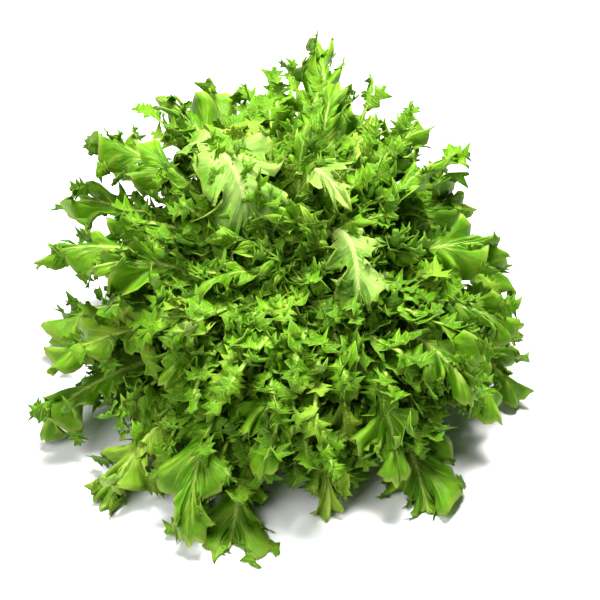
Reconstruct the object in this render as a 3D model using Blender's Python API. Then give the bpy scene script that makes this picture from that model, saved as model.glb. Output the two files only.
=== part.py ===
"""A head of curly endive, cut at the root, resting on its butt with its leaves spread round it.

The head is a rosette. Large leaves grow in a spiral from a short pale stem, each leaf a solid of its own.
Inside them the spiral runs on into a dense heart of small leaves, grown together round a slim core.
The rosette leans towards the front (-Y): front leaves lie on the surface and back leaves stand up.
Lengths are in metres and angles in degrees. The origin is the middle of the cut face, and +Z is up.
"""

import math
from dataclasses import dataclass, replace

import bmesh
import bpy
import numpy as np
from mathutils import Vector
from mathutils.bvhtree import BVHTree

# Stem
STEM_RADIUS = 0.019
STEM_NECK_RADIUS = 0.0125
STEM_HEIGHT = 0.030
STEM_CUT_BEVEL = 0.0013
STEM_SIDES = 24

# Clearances between solids and to the surface
GAP = 0.0004
FLOOR_GAP = 0.0006
FLOOR_SOFTNESS = 0.003

# What every leaf shares
BLADE_THICKNESS = 0.0008
LOBE_ROWS = 2
LATERAL_ANGLE = 68.0
LATERAL_FALL = 2.6
LOBE_CROWDING = 1.3
BASE_WIDTH = 0.26
FULL_WIDTH_AT = 0.8
RIGHT_SIDE_START = 0.45
TIP_HALF_LOBE = 0.5
TIP_LOBE_SIZE = 1.05
PETIOLE_ROWS = (0.0, 0.55)
RIB_TAPER = 0.8
CURVE_SAMPLES = 160
CURVE_REACH = 1.6
MERGE_DISTANCE = 0.0002

# The spiral of large leaves
GOLDEN_ANGLE = 137.508
LEAN = 28.0
LARGE_LEAVES = 32
LARGE_SEED = 11
LARGE_AZIMUTH = 255.0
LARGE_INWARD = 0.55
LARGE_HALF_WIDTH = 0.049
BACK_WIDENING = 0.20

# The heart
HEART_LEAVES = 22
HEART_SEED = 7
HEART_AZIMUTH = 25.0
HEART_INWARD = 0.62
HEART_HALF_WIDTH = 0.031
CORE_RADIUS = 0.012
CORE_HEIGHT = 0.052
CORE_BASE = STEM_HEIGHT + GAP
CORE_SIDES = 12
CORE_STEPS = 6
CORE_TOP_ANGLE = 84.0

# The small moves that clear one leaf of another
RAISE_STEP = 2.5
TURN_STEP = 4.0
MOVE_STEPS = 4
ROOT_REACH = 0.030

LEAF_GREEN = (0.20, 0.46, 0.04)
HEART_GREEN = (0.33, 0.58, 0.08)
STEM_CREAM = (0.80, 0.84, 0.62)

# Large leaves that leave the regular spiral, by number: turn, raise and stretch
PLACED = {
    1: (3.0, 0.0, 1.00),
    2: (-8.0, 0.0, 1.06),
    3: (0.0, 3.0, 1.06),
    4: (-5.0, 0.0, 1.02),
    6: (3.0, -2.0, 1.12),
    7: (-12.0, 0.0, 0.98),
    9: (6.0, -4.0, 0.84),
    11: (24.0, -4.0, 1.16),
    13: (4.0, 2.0, 1.06),
    14: (0.0, -6.0, 1.22),
    16: (0.0, 0.0, 1.05),
    17: (4.0, -6.0, 1.10),
    19: (6.0, -4.0, 1.14),
    21: (-14.0, 0.0, 0.92),
    22: (-9.0, -4.0, 1.14),
    23: (0.0, 0.0, 0.82),
    24: (0.0, 0.0, 1.06),
    25: (4.0, -4.0, 1.20),
    26: (-11.0, 0.0, 1.0),
    29: (-16.0, 0.0, 0.84),
    31: (0.0, 0.0, 0.86),
}

# More large leaves that fill the back: azimuth, elevation and height of the root
BACK_PLACES = (
    (47.0, 9.0, 0.007),
    (80.0, 19.0, 0.016),
    (106.0, 27.0, 0.004),
    (117.0, 14.0, 0.013),
    (134.0, 28.0, 0.022),
    (152.0, 43.0, 0.025),
)


@dataclass(frozen=True)
class Leaf:
    """One leaf: where it grows, how its rib bends, and how its blade is cut and ruffled.

    The rise gives the rib's elevation at the root, in the middle and at the tip. Sinus is how much of a
    lobe's width is left between lobes. Fan, lift and twist turn the lobes, and wave, cup and curl bend
    the blade. Petiole is the bare share of the length. Lean tips the whole leaf towards the front.
    """

    name: str
    seed: int
    azimuth: float
    root_radius: float
    root_height: float
    length: float
    rise: tuple
    sweep: float
    roll: float
    half_width: float
    lobes: int = 5
    petiole: float = 0.24
    petiole_half_width: float = 0.0042
    sinus: float = 0.42
    fan: float = 30.0
    lift: float = 26.0
    twist: float = 20.0
    wave: float = 14.0
    waves: float = 2.0
    cup: float = 14.0
    curl: float = -16.0
    rib_thickness: float = 0.0044
    rib_half_width: float = 0.0042
    columns: int = 2
    lean: float = 0.0
    raised: float = 0.0


@dataclass(frozen=True)
class Spread:
    """A measure of the leaves at one depth in the head: a mean, and what each direction adds to it."""

    mean: float
    back: float
    left: float = 0.0
    sides: float = 0.0

    def towards(self, azimuth):
        """The measure of a leaf that grows towards an azimuth."""
        back = math.sin(math.radians(azimuth))
        left = -math.cos(math.radians(azimuth))
        return self.mean + self.back * back + self.left * left + self.sides * left**2


OUTSIDE_LENGTH = Spread(0.146, -0.024, 0.007, -0.012)
HALFWAY_LENGTH = Spread(0.155, 0.044, 0.016, -0.012)
MIDDLE_LENGTH = Spread(0.086, 0.010)
OUTSIDE_ELEVATION = Spread(1.0, 4.0)
MIDDLE_ELEVATION = 90.0


def smooth(value):
    """Eases from 0 to 1 as value goes from 0 to 1."""
    value = np.clip(value, 0.0, 1.0)
    return value * value * (3.0 - 2.0 * value)


def direction(azimuth, inward):
    """The elevation and the length of a leaf, from its azimuth and how deep in the head it grows."""
    elevation = OUTSIDE_ELEVATION.towards(azimuth) * (1.0 - inward) + MIDDLE_ELEVATION * inward
    lengths = [spread.towards(azimuth) for spread in (OUTSIDE_LENGTH, HALFWAY_LENGTH, MIDDLE_LENGTH)]
    return elevation, float(np.interp(inward, (0.0, 0.5, 1.0), lengths))


def spiral_leaves():
    """The large leaves, set at the golden angle from the lowest outside to the highest inside."""
    draw = np.random.default_rng(LARGE_SEED)
    leaves = []
    for index in range(LARGE_LEAVES):
        share = index / (LARGE_LEAVES - 1)
        azimuth = LARGE_AZIMUTH + GOLDEN_ANGLE * index + draw.uniform(-4.0, 4.0)
        elevation, length = direction(azimuth, LARGE_INWARD * share)
        turn, raised, stretch = PLACED.get(index + 1, (0.0, 0.0, 1.0))
        elevation += raised
        bow = 30.0 - 12.0 * share
        droop = 44.0 - 8.0 * share
        widened = 1.0 + BACK_WIDENING * max(math.sin(math.radians(azimuth)), 0.0) * (1.0 - share)
        leaves.append(
            Leaf(
                name=f"leaf_{index + 1:02d}",
                seed=100 * LARGE_SEED + index,
                azimuth=azimuth + turn,
                root_radius=0.0208 - 0.0042 * share,
                root_height=0.0065 + 0.0215 * share,
                length=length * stretch * draw.uniform(0.94, 1.06),
                rise=(elevation + bow, elevation + droop - bow, elevation - droop),
                sweep=draw.uniform(-24.0, 24.0),
                roll=draw.uniform(-22.0, 22.0),
                half_width=(LARGE_HALF_WIDTH - 0.005 * share) * widened,
                lean=LEAN * LARGE_INWARD * share,
            )
        )
    return leaves


def back_leaves():
    """Large leaves with slimmer stalks that fill the back, where the lean spreads the spiral apart."""
    draw = np.random.default_rng(LARGE_SEED)
    leaves = []
    for number, (azimuth, elevation, root_height) in enumerate(BACK_PLACES, LARGE_LEAVES + 1):
        leaves.append(
            Leaf(
                name=f"leaf_{number:02d}",
                seed=100 * LARGE_SEED + number,
                azimuth=azimuth,
                root_radius=0.0195,
                root_height=root_height,
                length=0.150 + 0.0006 * elevation,
                rise=(elevation + 22.0, elevation + 14.0, elevation - 36.0),
                sweep=draw.uniform(-8.0, 8.0),
                roll=draw.uniform(-8.0, 8.0),
                half_width=0.042,
                petiole=0.34,
                petiole_half_width=0.0030,
                rib_thickness=0.0030,
                rib_half_width=0.0030,
            )
        )
    return leaves


def heart_leaves():
    """The small leaves of the heart, which carry the spiral on to its middle."""
    draw = np.random.default_rng(HEART_SEED)
    leaves = []
    for index in range(HEART_LEAVES):
        share = index / (HEART_LEAVES - 1)
        azimuth = HEART_AZIMUTH + GOLDEN_ANGLE * index
        inward = HEART_INWARD + (1.0 - HEART_INWARD) * share**0.8
        elevation, length = direction(azimuth, inward)
        elevation += draw.uniform(-4.0, 4.0)
        leaves.append(
            Leaf(
                name=f"heart_leaf_{index + 1:02d}",
                seed=100 * HEART_SEED + index,
                azimuth=azimuth,
                root_radius=0.008 - 0.005 * share,
                root_height=CORE_BASE + 0.005 + 0.030 * share,
                length=length * draw.uniform(0.9, 1.08),
                rise=(elevation + 12.0, elevation + 16.0, elevation - 44.0 + 10.0 * share),
                sweep=draw.uniform(-20.0, 20.0),
                roll=draw.uniform(-20.0, 20.0),
                half_width=HEART_HALF_WIDTH - 0.013 * share,
                lobes=4,
                petiole=0.20,
                petiole_half_width=0.0030,
                sinus=0.36,
                lift=24.0,
                twist=14.0,
                rib_thickness=0.0026,
                rib_half_width=0.0026,
                columns=1,
                lean=LEAN * inward,
            )
        )
    return leaves


def blade_side(leaf, side, draw, tip_lift):
    """One side of a flat leaf, from the rib (first column) to the cut edge, as x, y and z grids."""
    start = RIGHT_SIDE_START if side > 0 else 0.0
    along = np.linspace(0.0, 1.0, LOBE_ROWS * leaf.lobes + 1)
    out = np.linspace(0.0, 1.0, leaf.columns + 1)
    lobe = along * (leaf.lobes - TIP_HALF_LOBE - start) + start
    number = np.minimum(np.floor(lobe + 1e-9).astype(int), leaf.lobes - 1)
    phase = lobe - number
    turn = np.where((np.arange(leaf.lobes) + (side > 0)) % 2 == 1, 1.0, -1.0)
    lift = turn * leaf.lift * draw.uniform(0.4, 1.15, leaf.lobes)
    size = draw.uniform(0.82, 1.18, leaf.lobes)
    twist = draw.uniform(-1.0, 1.0, leaf.lobes) * leaf.twist
    wave_start = draw.uniform()
    lift[-1], size[-1], twist[-1] = tip_lift, TIP_LOBE_SIZE, 0.0

    crest = np.clip(np.sin(np.pi * phase), 0.0, 1.0) ** 0.8
    swing = np.sin(2.0 * np.pi * phase)
    settle = 1.0 - along**10
    reach = leaf.half_width * (BASE_WIDTH + (1.0 - BASE_WIDTH) * smooth(along / FULL_WIDTH_AT))
    reach = reach * (1.0 + (size[number] - 1.0) * crest)
    reach = reach * (leaf.sinus + (1.0 - leaf.sinus) * crest**0.7)

    heading = LATERAL_ANGLE * (1.0 - along**LATERAL_FALL)
    heading = heading[:, None] + leaf.fan * (swing * crest)[:, None] * smooth((out - 0.25) / 0.75)
    pitch = leaf.cup * (1.0 - 2.0 * out)[None, :] + leaf.curl * (out**2)[None, :]
    wave = leaf.wave * np.sin(2.0 * np.pi * (along * leaf.waves + wave_start)) * settle
    pitch = pitch + (wave + twist[number] * swing)[:, None] * out
    pitch = pitch + (lift[number] * crest)[:, None] * out**1.2
    heading, pitch = np.radians(heading), np.radians(pitch)

    step = np.repeat((reach / leaf.columns)[:, None], leaf.columns + 1, axis=1)
    step[:, 0] = 0.0
    x = side * np.cumsum(step * np.cos(pitch) * np.sin(heading), axis=1)
    y = np.cumsum(step * np.cos(pitch) * np.cos(heading), axis=1)
    z = np.cumsum(step * np.sin(pitch), axis=1)
    crowded = 1.0 - (1.0 - along) ** LOBE_CROWDING
    y = y + leaf.length * (leaf.petiole + (1.0 - leaf.petiole) * crowded)[:, None]

    rows = np.array(PETIOLE_ROWS)[:, None]
    x_petiole = side * leaf.petiole_half_width * np.repeat(out[None, :], len(rows), axis=0)
    y_petiole = leaf.length * leaf.petiole * np.repeat(rows, len(out), axis=1)
    z_petiole = np.zeros_like(x_petiole)
    return np.vstack([x_petiole, x]), np.vstack([y_petiole, y]), np.vstack([z_petiole, z])


def flat_leaf(leaf):
    """Both sides of a flat leaf joined along the rib, as x, y and z grids of rows across it."""
    draw = np.random.default_rng(leaf.seed)
    tip_lift = draw.uniform(-0.6, 0.6) * leaf.lift
    left = blade_side(leaf, -1, draw, tip_lift)
    right = blade_side(leaf, 1, draw, tip_lift)
    return [np.hstack([a[:, :0:-1], b]) for a, b in zip(left, right)]


def rib_frames(leaf):
    """Points along the rib, with the directions of its upper side and across it."""
    share = np.linspace(0.0, CURVE_REACH, CURVE_SAMPLES)
    start, middle, tip = leaf.rise
    bent = np.minimum(share, 1.0)
    rise = leaf.raised + (1.0 - bent) ** 2 * start + 2.0 * bent * (1.0 - bent) * middle + bent**2 * tip
    rise = np.radians(rise + 2.0 * (tip - middle) * (share - bent))
    turn = np.radians(leaf.azimuth + leaf.sweep * share**2)
    level = np.stack([np.cos(turn), np.sin(turn), 0.0 * turn], axis=1)
    upright = np.array([0.0, 0.0, 1.0])
    forward = level * np.cos(rise)[:, None] + upright * np.sin(rise)[:, None]
    upper = upright * np.cos(rise)[:, None] - level * np.sin(rise)[:, None]
    across = np.cross(forward, upper)
    roll = np.radians(leaf.roll * share)[:, None]
    upper, across = (
        upper * np.cos(roll) + across * np.sin(roll),
        across * np.cos(roll) - upper * np.sin(roll),
    )
    spacing = leaf.length * CURVE_REACH / (CURVE_SAMPLES - 1)
    points = np.zeros((CURVE_SAMPLES, 3))
    points[1:] = np.cumsum(0.5 * (forward[1:] + forward[:-1]), axis=0) * spacing
    points = points + level[0] * leaf.root_radius
    return share * leaf.length, points, upper, across


def bend_leaf(leaf, x, y, z):
    """Carries a flat leaf onto its bent rib, and rests what would pass the floor on it."""
    lengths, points, upper, across = rib_frames(leaf)

    def along_rib(values):
        return np.stack([np.interp(y, lengths, values[:, axis]) for axis in range(3)], axis=-1)

    placed = along_rib(points) + along_rib(across) * x[..., None] + along_rib(upper) * z[..., None]
    lean = math.radians(leaf.lean)
    back, up = placed[..., 1].copy(), placed[..., 2].copy()
    placed[..., 1] = back * math.cos(lean) - up * math.sin(lean)
    placed[..., 2] = back * math.sin(lean) + up * math.cos(lean) + leaf.root_height
    lowest = FLOOR_GAP + 0.5 * BLADE_THICKNESS
    over = (placed[..., 2] - lowest) / FLOOR_SOFTNESS
    placed[..., 2] = lowest + FLOOR_SOFTNESS * np.logaddexp(0.0, over)
    return placed


def rib_share(leaf, x, y):
    """How thick each point is, as a share of the rib at its root: thick on the rib, thin at the edge."""
    along = np.clip(y / leaf.length, 0.0, 1.0)
    rib = np.exp(-((x / leaf.rib_half_width) ** 2)) * (1.0 - RIB_TAPER * along)
    blade = BLADE_THICKNESS / leaf.rib_thickness
    return blade + (1.0 - blade) * rib


def new_object(name, mesh, material):
    """Adds a mesh to the scene as an object with its material."""
    mesh.materials.append(material)
    thing = bpy.data.objects.new(name, mesh)
    bpy.context.scene.collection.objects.link(thing)
    return thing


def apply_modifiers(thing):
    """Replaces an object's mesh by the one that its modifiers make."""
    bpy.context.view_layer.update()
    graph = bpy.context.evaluated_depsgraph_get()
    mesh = bpy.data.meshes.new_from_object(thing.evaluated_get(graph))
    thing.modifiers.clear()
    thing.data = mesh


def leaf_object(leaf, material):
    """A leaf as a closed solid: a grid shaped into the blade, then given its thickness."""
    x, y, z = flat_leaf(leaf)
    placed = bend_leaf(leaf, x, y, z)
    rows, columns = x.shape
    sheet = bmesh.new()
    bmesh.ops.create_grid(sheet, x_segments=columns - 1, y_segments=rows - 1, size=1.0)
    thickness = sheet.verts.layers.deform.verify()
    for vertex, place, share in zip(sheet.verts, placed.reshape(-1, 3), rib_share(leaf, x, y).ravel()):
        vertex.co = place
        vertex[thickness][0] = float(share)
    bmesh.ops.remove_doubles(sheet, verts=sheet.verts, dist=MERGE_DISTANCE)
    bmesh.ops.triangulate(sheet, faces=sheet.faces, quad_method="ALTERNATE")
    mesh = bpy.data.meshes.new(leaf.name)
    sheet.to_mesh(mesh)
    sheet.free()
    thing = new_object(leaf.name, mesh, material)
    thing.vertex_groups.new(name="thickness")
    wall = thing.modifiers.new("wall", "SOLIDIFY")
    wall.thickness = leaf.rib_thickness
    wall.offset = 0.0
    wall.vertex_group = "thickness"
    apply_modifiers(thing)
    return thing


def faces_beyond(thing, height, reach):
    """An object's faces further than reach from a height on the axis, sorted for tests of crossing."""
    root = Vector((0.0, 0.0, height))
    points = [vertex.co for vertex in thing.data.vertices]
    far = [(point - root).length > reach for point in points]
    faces = [face.vertices for face in thing.data.polygons if all(far[corner] for corner in face.vertices)]
    return BVHTree.FromPolygons(points, faces)


def small_moves():
    """Pairs of a turn and a raise in degrees, from none to the largest allowed."""
    steps = range(-MOVE_STEPS, MOVE_STEPS + 1)
    moves = [(TURN_STEP * turn, RAISE_STEP * rise) for turn in steps for rise in steps]
    return sorted(moves, key=lambda move: (math.hypot(*move), move))


def grow_clear(leaf, standing, material, reach=0.0):
    """Grows a leaf with the smallest turn and raise that clear it of what stands, or cross it least.

    The faces within reach of the leaf's root may cross. The new leaf is added to what stands.
    """
    fewest, best = math.inf, leaf
    for turned, raised in small_moves():
        trial = replace(leaf, azimuth=leaf.azimuth + turned, raised=raised)
        thing = leaf_object(trial, material)
        faces = faces_beyond(thing, leaf.root_height, reach)
        bpy.data.objects.remove(thing)
        crossings = sum(len(faces.overlap(other)) for other in standing)
        if crossings < fewest:
            fewest, best = crossings, trial
        if crossings == 0:
            break
    thing = leaf_object(best, material)
    standing.append(faces_beyond(thing, leaf.root_height, reach))
    return thing


def turned_solid(name, profile, sides, material):
    """A closed solid turned about +Z from (radius, height) points, lowest first."""
    solid = bmesh.new()
    bmesh.ops.create_circle(solid, cap_ends=True, segments=sides, radius=profile[0][0])
    bmesh.ops.translate(solid, verts=solid.verts, vec=(0.0, 0.0, profile[0][1]))
    rim = list(solid.edges)
    for radius, height in profile[1:]:
        made = bmesh.ops.extrude_edge_only(solid, edges=rim)["geom"]
        rim = [item for item in made if isinstance(item, bmesh.types.BMEdge)]
        for vertex in (item for item in made if isinstance(item, bmesh.types.BMVert)):
            scale = radius / math.hypot(vertex.co.x, vertex.co.y)
            vertex.co = (vertex.co.x * scale, vertex.co.y * scale, height)
    bmesh.ops.contextual_create(solid, geom=rim)
    bmesh.ops.recalc_face_normals(solid, faces=solid.faces)
    mesh = bpy.data.meshes.new(name)
    solid.to_mesh(mesh)
    solid.free()
    mesh.shade_smooth()
    mesh.set_sharp_from_angle(angle=math.radians(40.0))
    return new_object(name, mesh, material)


def stem_object(material):
    """The butt: a short stem with a flat cut face, narrowing where the leaves leave it."""
    profile = (
        (STEM_RADIUS - STEM_CUT_BEVEL, 0.0),
        (STEM_RADIUS, STEM_CUT_BEVEL),
        (0.96 * STEM_RADIUS, 0.20 * STEM_HEIGHT),
        (0.88 * STEM_RADIUS, 0.47 * STEM_HEIGHT),
        (1.10 * STEM_NECK_RADIUS, 0.77 * STEM_HEIGHT),
        (STEM_NECK_RADIUS, STEM_HEIGHT),
    )
    return turned_solid("stem", profile, STEM_SIDES, material)


def core_object(material):
    """The slim core that the leaves of the heart are sunk into, a pointed dome on the stem."""
    shares = [step / CORE_STEPS for step in range(CORE_STEPS + 1)]
    profile = [
        (CORE_RADIUS * math.cos(math.radians(CORE_TOP_ANGLE * share)), CORE_BASE + CORE_HEIGHT * share)
        for share in shares
    ]
    return turned_solid("heart", profile, CORE_SIDES, material)


def join_leaves(core, blades):
    """Joins blades to the core that they are sunk into, as one body."""
    grown = bpy.data.collections.new("heart leaves")
    for blade in blades:
        bpy.context.scene.collection.objects.unlink(blade)
        grown.objects.link(blade)
    union = core.modifiers.new("grown together", "BOOLEAN")
    union.operation = "UNION"
    union.operand_type = "COLLECTION"
    union.collection = grown
    union.solver = "MANIFOLD"
    apply_modifiers(core)
    for blade in blades:
        bpy.data.objects.remove(blade)
    bpy.data.collections.remove(grown)


def keep_largest_body(thing):
    """Drops the loose scraps and the sealed hollows of an object's mesh."""
    solid = bmesh.new()
    solid.from_mesh(thing.data)
    unvisited = set(solid.verts)
    bodies = []
    while unvisited:
        body = [unvisited.pop()]
        for vertex in body:
            near = {edge.other_vert(vertex) for edge in vertex.link_edges} & unvisited
            unvisited -= near
            body.extend(near)
        bodies.append(body)
    bodies.sort(key=len)
    scraps = [vertex for body in bodies[:-1] for vertex in body]
    bmesh.ops.delete(solid, geom=scraps, context="VERTS")
    solid.to_mesh(thing.data)
    solid.free()


def new_material(name, colour, roughness):
    """A plain Principled material."""
    material = bpy.data.materials.new(name)
    material.use_nodes = True
    shader = material.node_tree.nodes["Principled BSDF"]
    shader.inputs["Base Color"].default_value = (*colour, 1.0)
    shader.inputs["Roughness"].default_value = roughness
    shader.inputs["Metallic"].default_value = 0.0
    return material


def main():
    """Clears the scene and grows the head, from the stem outwards and then from the outside in."""
    for thing in list(bpy.data.objects):
        bpy.data.objects.remove(thing)
    leaf_green = new_material("leaf_green", LEAF_GREEN, 0.45)
    heart_green = new_material("heart_green", HEART_GREEN, 0.45)
    stem_cream = new_material("stem_cream", STEM_CREAM, 0.55)

    stem = stem_object(stem_cream)
    core = core_object(heart_green)
    standing = [faces_beyond(stem, STEM_HEIGHT, 0.0), faces_beyond(core, STEM_HEIGHT, 0.0)]
    for leaf in spiral_leaves() + back_leaves():
        grow_clear(leaf, standing, leaf_green)

    core_faces = standing.pop(1)
    blades = [grow_clear(leaf, standing, heart_green, ROOT_REACH) for leaf in heart_leaves()]
    standing.append(core_faces)
    join_leaves(core, blades)
    keep_largest_body(core)


main()
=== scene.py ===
"""The looks of a head of curly endive: toothed, ruffled leaves round a dense heart, on a pale floor.

Each leaf follows the rules of its plain solid in the frame, and adds the teeth, ruffles and veins.
Lengths are in metres and angles in degrees. The front is -Y, and the stem's cut face is at the origin.
"""

import logging
import math
from collections.abc import Callable, Sequence
from dataclasses import dataclass, field, replace
from enum import Enum

import bmesh
import bpy
import numpy as np
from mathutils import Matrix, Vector
from mathutils.bvhtree import BVHTree
from mathutils.kdtree import KDTree


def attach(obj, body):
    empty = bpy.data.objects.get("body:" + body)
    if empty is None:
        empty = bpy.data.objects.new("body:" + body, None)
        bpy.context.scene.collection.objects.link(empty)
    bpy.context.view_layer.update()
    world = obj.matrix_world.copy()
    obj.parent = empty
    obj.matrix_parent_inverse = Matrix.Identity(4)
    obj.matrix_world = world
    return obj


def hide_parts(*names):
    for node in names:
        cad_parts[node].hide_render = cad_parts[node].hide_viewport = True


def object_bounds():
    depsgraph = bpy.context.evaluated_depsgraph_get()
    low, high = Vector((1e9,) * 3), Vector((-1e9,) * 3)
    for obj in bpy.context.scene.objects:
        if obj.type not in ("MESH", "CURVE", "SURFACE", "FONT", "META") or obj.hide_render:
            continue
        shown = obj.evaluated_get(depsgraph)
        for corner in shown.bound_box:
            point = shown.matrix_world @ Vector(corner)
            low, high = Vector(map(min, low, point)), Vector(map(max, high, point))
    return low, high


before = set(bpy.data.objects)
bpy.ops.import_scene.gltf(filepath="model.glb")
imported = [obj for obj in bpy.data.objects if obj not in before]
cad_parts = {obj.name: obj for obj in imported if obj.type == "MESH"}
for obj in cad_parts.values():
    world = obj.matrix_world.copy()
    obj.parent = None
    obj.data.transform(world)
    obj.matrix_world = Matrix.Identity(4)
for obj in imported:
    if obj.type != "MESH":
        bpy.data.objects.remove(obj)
CAD_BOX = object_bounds()

log = logging.getLogger("endive")

Colour = tuple[float, float, float]
BODY = "root"
GOLDEN_ANGLE = 137.508
GAP = 0.0004
STEM_HEIGHT = 0.030
FLOOR_GAP = 0.0006
FLOOR_SOFTNESS = 0.003
SOLID_BLADE = 0.0008
LEAN = 28.0
SEAM_DISTANCE = 0.00002
MARKS = ("across", "lobe", "vein", "beside", "tone", "inside")


def smooth(value: np.ndarray | float) -> np.ndarray:
    """Eases from 0 to 1 as value goes from 0 to 1."""
    value = np.clip(value, 0.0, 1.0)
    return value * value * (3.0 - 2.0 * value)


def turned(first: np.ndarray, second: np.ndarray, angle: np.ndarray) -> tuple[np.ndarray, np.ndarray]:
    """Two directions at right angles, the first turned towards the second by an angle in radians."""
    return first * np.cos(angle) + second * np.sin(angle), second * np.cos(angle) - first * np.sin(angle)


def unit_path(directions: np.ndarray) -> np.ndarray:
    """The points of a curve that takes a step of length 1 along each of these directions."""
    points = np.zeros_like(directions)
    points[1:] = np.cumsum(0.5 * (directions[1:] + directions[:-1]), axis=0)
    return points


def read_along(places: np.ndarray | list[float], known: np.ndarray, values: np.ndarray) -> np.ndarray:
    """Reads directions or points, known at some lengths of a curve, at other places on it.

    Args:
        places: where on the curve to read.
        known: the lengths that the values belong to.
        values: a row of three numbers for each known length.

    Returns:
        Three numbers for each place.
    """
    return np.stack([np.interp(places, known, values[:, axis]) for axis in range(3)], axis=-1)


def mesh_of(name: str, plan: bmesh.types.BMesh) -> bpy.types.Mesh:
    """Makes a mesh of a finished plan, and frees the plan."""
    mesh = bpy.data.meshes.new(name)
    plan.to_mesh(mesh)
    plan.free()
    return mesh


def add_object(name: str, data: bpy.types.ID) -> bpy.types.Object:
    """Adds an object that holds this mesh, light or camera."""
    thing = bpy.data.objects.new(name, data)
    bpy.context.scene.collection.objects.link(thing)
    return thing


@dataclass(frozen=True)
class Frill:
    """How the margin of a leaf is cut into teeth and ruffled.

    Spacing gives the fewest and the most rows from one tooth to the next, tooth their length, sunk how
    much of it is cut from the lobe, and shoulder how full their flanks are. Taper narrows the lobes and
    cleft deepens the gaps between them. Divided is the share of the blade's width that gives way to
    lobes of the margin, and fringe what they stand out beyond it. Uneven is how much the lobes differ
    in width, ruffle the height and ruffles the number of waves on each, and crinkle the depth of the
    fine folds. Angles are of the blade's pitch or heading at its edge.
    """

    spacing: tuple[int, int] = (3, 5)
    tooth: float = 0.016
    sunk: float = 0.62
    shoulder: float = 0.36
    taper: float = 1.1
    cleft: float = 0.75
    divided: float = 0.0
    fringe: float = 0.0
    uneven: float = 0.22
    ruffle: float = 52.0
    ruffles: float = 1.7
    tooth_curl: float = 70.0
    swerve: float = 30.0
    crinkle: float = 0.0007
    petiole_spine: float = 0.0012


@dataclass(frozen=True)
class Grain:
    """How finely a leaf is laid out: rows to a lobe, columns to a side, rows of the bare petiole.

    A crowding below 1 brings the columns closer together towards the margin, and a gathering above 1
    the rows towards the tip. The plain solids have no frill.
    """

    rows: int
    columns: int
    petiole: tuple[float, ...]
    crowding: float = 1.0
    gathering: float = 1.0
    frill: Frill | None = None


@dataclass(frozen=True)
class Sheet:
    """A leaf before it is bent: its flat place, and what its finish reads at each point."""

    x: np.ndarray
    y: np.ndarray
    z: np.ndarray
    across: np.ndarray
    lobe: np.ndarray
    vein: np.ndarray
    stand: np.ndarray

    def beside(self, other: "Sheet") -> "Sheet":
        """This left side joined along the rib to the right side.

        Args:
            other: the right side, whose first column is the rib.

        Returns:
            One sheet from the left edge to the right edge.
        """
        pairs = [(getattr(self, key), getattr(other, key)) for key in self.__dataclass_fields__]
        return Sheet(*(np.hstack([left[:, :0:-1], right]) for left, right in pairs))


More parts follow.
